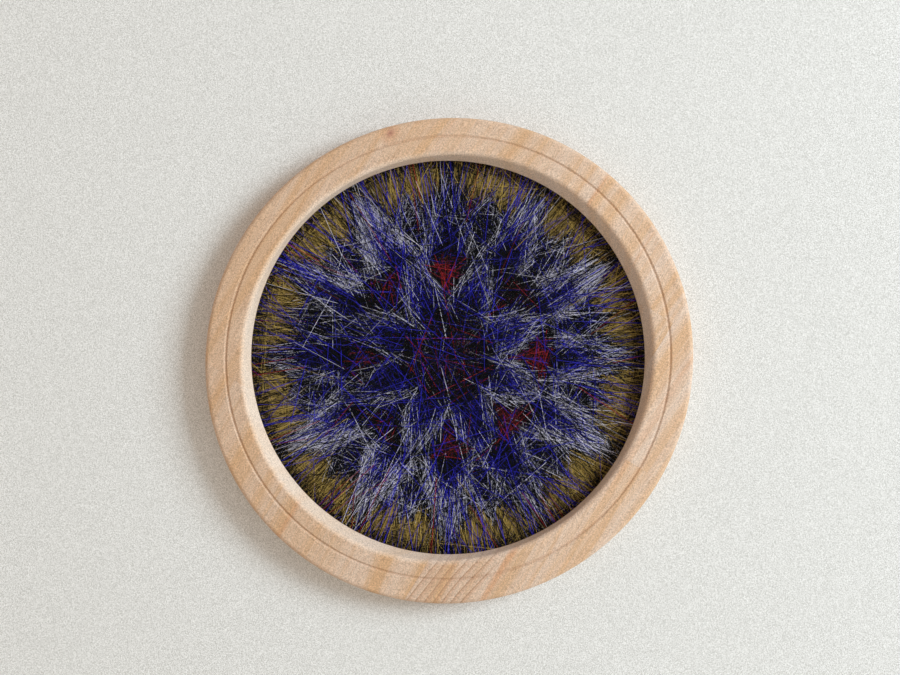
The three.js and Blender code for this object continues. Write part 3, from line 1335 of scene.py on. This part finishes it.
@dataclass
class ThreadWeb:
    """All the threads, as one piece for each dye."""

    sight_radius: float
    effects: Effects
    thickness: float = 0.27 * MM
    flatness: float = 0.6
    section: float = 70 * MM
    most: int = 11000
    tuck: float = 1.6 * MM
    sink: float = 0.9 * MM
    crown: float = 0.8 * MM
    tones: int = 16
    seed: int = 3
    longest: float = field(default=0.0, init=False)

    def __post_init__(self) -> None:
        """Takes the room for the threads from the frame."""
        low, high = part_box("string_web")
        self.radius = high.x
        self.front = low.y + self.crown
        self.back = high.y

    def height(self, x: Array, z: Array, level: Array) -> Array:
        """Gives how far forward a thread lies.

        Args:
            x: Places to the right of the middle.
            z: Places above it.
            level: 0 for the first thread laid and 1 for the last.

        Returns:
            The places' y.
        """
        pile = self.crown * (1 - np.minimum(np.hypot(x, z) / self.sight_radius, 1) ** 2)
        low = self.back - 0.7 * self.thickness
        high = self.front + 0.8 * self.thickness
        return low + (high - low) * level - pile * level

    def strands(self, rows: Array, level: Array, tone: Array, name: str) -> bpy.types.Mesh:
        """Makes one mesh of many threads, each a three-sided strand with tucked, pointed ends.

        Args:
            rows: Both ends' x and z for each thread.
            level: Each thread's place in the order of laying.
            tone: The number of each thread's tone.
            name: The mesh's name.

        Returns:
            The mesh, with the UV maps thread and OFBake.
        """
        start, end = rows[:, :2], rows[:, 2:4]
        length = np.hypot(*(end - start).T)
        parts = np.maximum(1, np.ceil((length - 2 * self.tuck) / self.section).astype(int))
        points, corners, sizes, coords, offset = [], [], [], [], 0
        for count in np.unique(parts):
            chosen = np.flatnonzero(parts == count)
            made = self.equal_strands(start[chosen], end[chosen], level[chosen], tone[chosen], count + 1)
            points.append(made[0])
            corners.append(made[1] + offset)
            sizes.append(made[2])
            coords.append(made[3])
            offset += len(made[0])
        mesh = mesh_from_arrays(name, np.concatenate(points), np.concatenate(corners), np.concatenate(sizes))
        flat = np.concatenate(coords).astype(np.float32).ravel()
        for label in ("thread", "OFBake"):
            mesh.uv_layers.new(name=label, do_init=False).uv.foreach_set("vector", flat)
        return mesh

    def equal_strands(
        self, start: Array, end: Array, level: Array, tone: Array, rings: int,
    ) -> tuple[Array, Array, Array, Array]:
        """Makes threads that have the same number of rings.

        Args:
            start: Where each begins.
            end: Where each ends.
            level: Each one's place in the order of laying.
            tone: The number of its tone.
            rings: How many three-sided rings it has between its tips.

        Returns:
            The points, the faces' corners, the faces' sizes and the corners' UVs.
        """
        count = len(start)
        span = end - start
        length = np.hypot(*span.T)
        way = span / length[:, None]
        tuck = self.tuck / length
        share = tuck[:, None] + (1 - 2 * tuck)[:, None] * np.linspace(0, 1, rings)[None]
        place = start[:, None] + span[:, None] * share[..., None]
        depth = self.height(place[..., 0], place[..., 1], level[:, None])
        side = np.stack([way[:, 1], -way[:, 0]], 1)
        around = np.radians([90.0, 210.0, 330.0])
        girth = 0.8 + 0.4 * (tone * 7 % self.tones) / self.tones
        radius = (self.thickness * 0.56 * girth)[:, None, None]
        ring = np.zeros((count, rings, 3, 3))
        ring[..., 0] = place[..., 0, None] + side[:, 0, None, None] * np.cos(around) * radius
        ring[..., 2] = place[..., 1, None] + side[:, 1, None, None] * np.cos(around) * radius
        ring[..., 1] = depth[..., None] - np.sin(around) * radius * self.flatness
        tips = np.zeros((count, 2, 3))
        for index, (spot, near) in enumerate(((start, 0), (end, -1))):
            tips[:, index] = np.stack([spot[:, 0], depth[:, near] + self.sink, spot[:, 1]], 1)
        tips[..., 1] = np.minimum(tips[..., 1], self.back)
        points = np.concatenate([ring.reshape(count, -1, 3), tips], 1)
        each = points.shape[1]
        faces, uvs = [], []
        run = share * length[:, None] / self.longest
        tip_run = np.stack([np.zeros(count), length / self.longest], 1)
        base = (np.arange(count) * each)[:, None]
        for face in range(3):
            after, left, right = (face + 1) % 3, face / 3, (face + 1) / 3
            first, last, final = 3 * rings, 3 * rings + 1, 3 * (rings - 1)
            middle, near, far = (left + right) / 2, run[:, 0], run[:, -1]
            faces.append(base + np.array([[first, face, after]]))
            uvs.append(self.corner_uvs(tone, [middle, left, right], tip_run[:, 0], near, near))
            faces.append(base + np.array([[last, final + after, final + face]]))
            uvs.append(self.corner_uvs(tone, [middle, right, left], tip_run[:, 1], far, far))
        three = np.concatenate(faces).ravel()
        three_uvs = np.concatenate(uvs).reshape(-1, 2)
        faces, uvs = [], []
        for step in range(rings - 1):
            for face in range(3):
                after, left, right = (face + 1) % 3, face / 3, (face + 1) / 3
                low, high = 3 * step, 3 * (step + 1)
                faces.append(base + np.array([[low + face, high + face, high + after, low + after]]))
                now, then = run[:, step], run[:, step + 1]
                uvs.append(self.corner_uvs(tone, [left, left, right, right], now, then, then, now))
        four = np.concatenate(faces).ravel()
        four_uvs = np.concatenate(uvs).reshape(-1, 2)
        sizes = np.concatenate([np.full(len(three) // 3, 3), np.full(len(four) // 4, 4)])
        corners, coords = np.concatenate([three, four]), np.concatenate([three_uvs, four_uvs])
        return points.reshape(-1, 3), corners, sizes, coords

    def corner_uvs(self, tone: Array, round_shares: list[float], *runs: Array) -> Array:
        """Gives each corner its tone's band, its place round the thread and its place along it."""
        held = [(tone + 0.04 + 0.92 * share) / self.tones for share in round_shares]
        return np.stack([np.stack([u, v], 1) for u, v in zip(held, runs)], 1)

    def build(self) -> list[bpy.types.Object]:
        """Plans the threads and makes the pieces.

        Returns:
            One piece for each dye.
        """
        plan = ThreadPlan(Rosette(self.sight_radius), reach=self.radius - 3 * MM)
        rows = plan.lay()
        rng = np.random.default_rng(self.seed)
        level = np.linspace(0, 1, len(rows)) ** 2
        tone = rng.integers(0, self.tones, len(rows))
        pieces = []
        for number, dye in enumerate(Dye):
            own = np.flatnonzero(rows[:, 4] == number)
            self.longest = float(np.hypot(*(rows[own, 2:4] - rows[own, :2]).T).max())
            finish = ThreadFinish(dye, self.longest, self.tones).make(self.effects)
            parts = np.array_split(own, math.ceil(len(own) / self.most))
            for part, chosen in enumerate(parts):
                name = "threads_" + dye.name.lower() + ("_upper" if part else "")
                mesh = self.strands(rows[chosen], level[chosen], tone[chosen], name)
                pieces.append(dressed_piece(name, mesh, finish, "string_web"))
            LOG.info("%s: %d threads", dye.name.lower(), len(own))
        return pieces


def mesh_from_arrays(name: str, points: Array, corners: Array, sizes: Array) -> bpy.types.Mesh:
    """Makes a smooth mesh from plain arrays.

    Args:
        name: The mesh's name.
        points: The points' places.
        corners: The point of each face corner, face after face.
        sizes: How many corners each face has.

    Returns:
        The mesh.
    """
    mesh = bpy.data.meshes.new(name)
    mesh.vertices.add(len(points))
    mesh.vertices.foreach_set("co", points.astype(np.float32).ravel())
    mesh.loops.add(len(corners))
    mesh.loops.foreach_set("vertex_index", corners.astype(np.int32))
    mesh.polygons.add(len(sizes))
    mesh.polygons.foreach_set("loop_start", np.concatenate([[0], np.cumsum(sizes)[:-1]]).astype(np.int32))
    mesh.update(calc_edges=True)
    mesh.validate()
    mesh.shade_smooth()
    return mesh


# ---- The board behind --------------------------------------------------------------------------------


@dataclass
class BackingBoard:
    """The black board behind the threads. Its shape is the CAD node's own."""

    material: bpy.types.Material

    def dress(self) -> bpy.types.Object:
        """Gives the board its finish and returns it."""
        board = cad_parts["backing_board"]
        board.data.materials.clear()
        board.data.materials.append(self.material)
        LOG.info("backing_board: dressed")
        return board


# ---- The room ----------------------------------------------------------------------------------------


@dataclass
class Room:
    """The wall that the picture hangs on, the floor, the light and the camera."""

    effects: Effects
    wall_half: float = 2.0
    opening: float = 0.146
    floor_drop: float = 1.3
    camera_distance: float = 0.7702
    camera_offset: tuple = (1.24 * MM, 12.5 * MM)
    lens: float = 50
    sensor: float = 36
    steps: int = 96
    wall_gap: float = 0.4 * MM
    floor_tint: tuple = (222, 218, 210)
    window_slant: float = math.radians(34)
    window_rise: float = math.radians(18)
    window_distance: float = 3.4
    window_size: float = 1.5
    window_power: float = 113.0
    window_tint: tuple = (228, 245, 255)
    room_tint: tuple = (255, 238, 223)
    room_light: float = 0.54

    def wall(self) -> bpy.types.Object:
        """Makes the wall, open behind the ring so that the back can be seen from behind."""
        sheet = bmesh.new()
        outer = bmesh.ops.create_circle(sheet, segments=self.steps, radius=self.wall_half)["verts"]
        inner = bmesh.ops.create_circle(sheet, segments=self.steps, radius=self.opening)["verts"]
        edges = [edge for edge in sheet.edges if edge.verts[0] in outer or edge.verts[0] in inner]
        bmesh.ops.bridge_loops(sheet, edges=edges)
        for vert in sheet.verts:
            vert.co = Vector((vert.co.x, self.wall_gap, vert.co.y))
        bmesh.ops.recalc_face_normals(sheet, faces=sheet.faces)
        if sheet.faces[:][0].normal.y > 0:
            bmesh.ops.reverse_faces(sheet, faces=sheet.faces)
        return self.staged("wall", sheet, Plaster().make(self.effects))

    def floor(self) -> bpy.types.Object:
        """Makes the pale floor, well below the picture."""
        sheet = bmesh.new()
        bmesh.ops.create_grid(sheet, x_segments=1, y_segments=1, size=self.wall_half)
        bmesh.ops.translate(sheet, verts=sheet.verts, vec=(0, -self.wall_half, -self.floor_drop))
        material = new_material("floor_paint", 0.85, Base_Color=linear(*self.floor_tint))[0]
        return self.staged("floor", sheet, material)

    def staged(self, name: str, sheet: bmesh.types.BMesh, material: bpy.types.Material) -> bpy.types.Object:
        """Turns a bmesh into a piece of the room.

        Args:
            name: The object's name.
            sheet: Its mesh, which is freed.
            material: Its material.

        Returns:
            The new object.
        """
        mesh = bpy.data.meshes.new(name)
        sheet.to_mesh(mesh)
        sheet.free()
        mesh.materials.append(material)
        thing = bpy.data.objects.new(name, mesh)
        bpy.context.scene.collection.objects.link(thing)
        return thing

    def lamp(self, name: str, where: Vector, size: float, power: float, tint: tuple) -> bpy.types.Object:
        """Hangs one square soft lamp that faces the picture.

        Args:
            name: The lamp's name.
            where: Its place.
            size: The length of its side.
            power: Its power in watts.
            tint: Its display colour.

        Returns:
            The lamp.
        """
        data = bpy.data.lights.new(name, "AREA")
        data.shape = "SQUARE"
        data.size = size
        data.energy = power
        data.color = linear(*tint)[:3]
        lamp = bpy.data.objects.new(name, data)
        lamp.location = where
        lamp.rotation_euler = (-where).to_track_quat("-Z", "Y").to_euler()
        bpy.context.scene.collection.objects.link(lamp)
        return lamp

    def light(self) -> None:
        """Sets the soft daylight from the upper right and the pale light of the room."""
        slant, rise = self.window_slant, self.window_rise
        level = math.cos(slant)
        way = Vector((level * math.cos(rise), -math.sin(slant), level * math.sin(rise)))
        where = way * self.window_distance
        self.lamp("window", where, self.window_size, self.window_power, self.window_tint)
        world = bpy.data.worlds.new("room_light")
        world.use_nodes = True
        background = world.node_tree.nodes["Background"]
        background.inputs["Color"].default_value = linear(*self.room_tint)
        background.inputs["Strength"].default_value = self.room_light
        bpy.context.scene.world = world

    def camera(self) -> bpy.types.Object:
        """Sets the camera square to the wall, a little above the ring's middle."""
        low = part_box("frame_ring")[0]
        data = bpy.data.cameras.new("camera")
        data.lens = self.lens
        data.sensor_width = self.sensor
        camera = bpy.data.objects.new("camera", data)
        right, up = self.camera_offset
        camera.location = (right, low.y - self.camera_distance, up)
        camera.rotation_euler = (math.radians(90), 0, 0)
        bpy.context.scene.collection.objects.link(camera)
        bpy.context.scene.camera = camera
        return camera

    def build(self) -> None:
        """Makes the whole room."""
        self.wall()
        self.floor()
        self.light()
        self.camera()
        view = bpy.context.scene.view_settings
        view.view_transform = "Standard"
        view.look = "None"
        LOG.info("room: wall, floor, light and camera")


# ---- The object --------------------------------------------------------------------------------------


def main() -> None:
    """Builds every piece of the object, then the room."""
    logging.basicConfig(level=logging.INFO, format="%(name)s: %(message)s")
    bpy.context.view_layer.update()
    effects = Effects()
    ring = FrameRing(PaleWood().make(effects))
    ring.build()
    ThreadWeb(ring.sight_radius, effects).build()
    BackingBoard(BlackBoard().make(effects)).dress()
    Room(effects).build()


if __name__ == "__main__":
    main()
